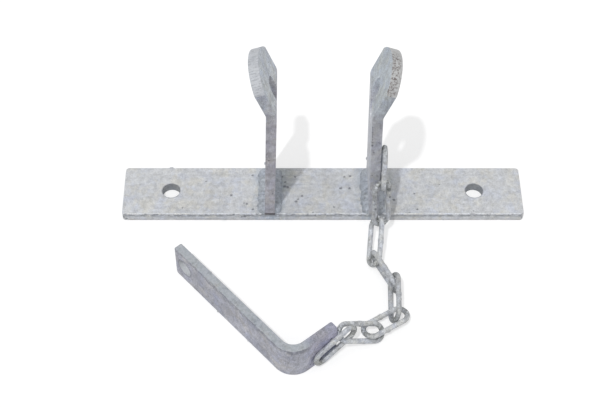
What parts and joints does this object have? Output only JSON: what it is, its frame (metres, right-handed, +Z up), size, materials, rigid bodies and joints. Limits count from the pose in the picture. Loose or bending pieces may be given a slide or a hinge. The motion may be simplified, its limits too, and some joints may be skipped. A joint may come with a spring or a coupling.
{
  "type": "gate latch",
  "caption": "Galvanised gate latch: a drilled base plate with two upright slotted ears and a right-angled flat key held on a chain.",
  "frame": {"origin": "centre of the base plate's underside, midway between its two bolt holes", "axes": "+X along the base plate toward the ear that carries the chain, +Y to the back, away from the chain and the key, +Z up from the plate"},
  "size_m": [0.4, 0.2402, 0.1997],
  "materials": {
    "galvanised_steel": "hot-dip galvanised, dull and mottled",
    "galvanised_weld": "rippled weld bead under zinc",
    "galvanised_chain": "hot-dip galvanised, thick and pale"
  },
  "bodies": {
    "latch_base": {"base_plate": "galvanised_steel", "left_ear": "galvanised_steel", "right_ear": "galvanised_steel", "left_ear_outer_weld": "galvanised_weld", "left_ear_inner_weld": "galvanised_weld", "right_ear_outer_weld": "galvanised_weld", "right_ear_inner_weld": "galvanised_weld", "chain_anchor_weld": "galvanised_weld", "chain_link_1": "galvanised_chain"},
    "link_2": {"chain_link_2": "galvanised_chain"},
    "link_3": {"chain_link_3": "galvanised_chain"},
    "link_4": {"chain_link_4": "galvanised_chain"},
    "link_5": {"chain_link_5": "galvanised_chain"},
    "link_6": {"chain_link_6": "galvanised_chain"},
    "link_7": {"chain_link_7": "galvanised_chain"},
    "key": {"latch_key": "galvanised_steel", "key_weld": "galvanised_weld", "chain_link_8": "galvanised_chain"}
  },
  "joints": [
    {"name": "link_2_swing", "type": "hinge", "parent": "latch_base", "child": "link_2", "pos_m": [0.0556, -0.0339, 0.0642], "axis": [0.8763, 0.4581, -0.1494], "range_deg": [-70, 2]},
    {"name": "link_3_swing", "type": "hinge", "parent": "link_2", "child": "link_3", "pos_m": [0.0524, -0.0459, 0.0237], "axis": [-0.5997, 0.3498, -0.7197], "range_deg": [-60, 35]},
    {"name": "link_4_swing", "type": "hinge", "parent": "link_3", "child": "link_4", "pos_m": [0.048, -0.0846, 0.0084], "axis": [0.5997, -0.3498, 0.7197], "range_deg": [-2, 60]},
    {"name": "link_5_swing", "type": "hinge", "parent": "link_4", "child": "link_5", "pos_m": [0.0688, -0.122, 0.0106], "axis": [0.4512, -0.8924, 0], "range_deg": [-60, 0]},
    {"name": "link_6_swing", "type": "hinge", "parent": "link_5", "child": "link_6", "pos_m": [0.057, -0.149, 0.0088], "axis": [-0.8321, -0.5514, 0.0602], "range_deg": [-70, 0]},
    {"name": "link_7_swing", "type": "hinge", "parent": "link_6", "child": "link_7", "pos_m": [0.0369, -0.1717, 0.0111], "axis": [-0.8645, -0.4825, 0.1407], "range_deg": [-60, 0]},
    {"name": "key_swing", "type": "hinge", "parent": "link_7", "child": "key", "pos_m": [0.0203, -0.1788, 0.0122], "axis": [0.7712, 0.5809, 0.2604], "range_deg": [0, 70]}
  ]
}
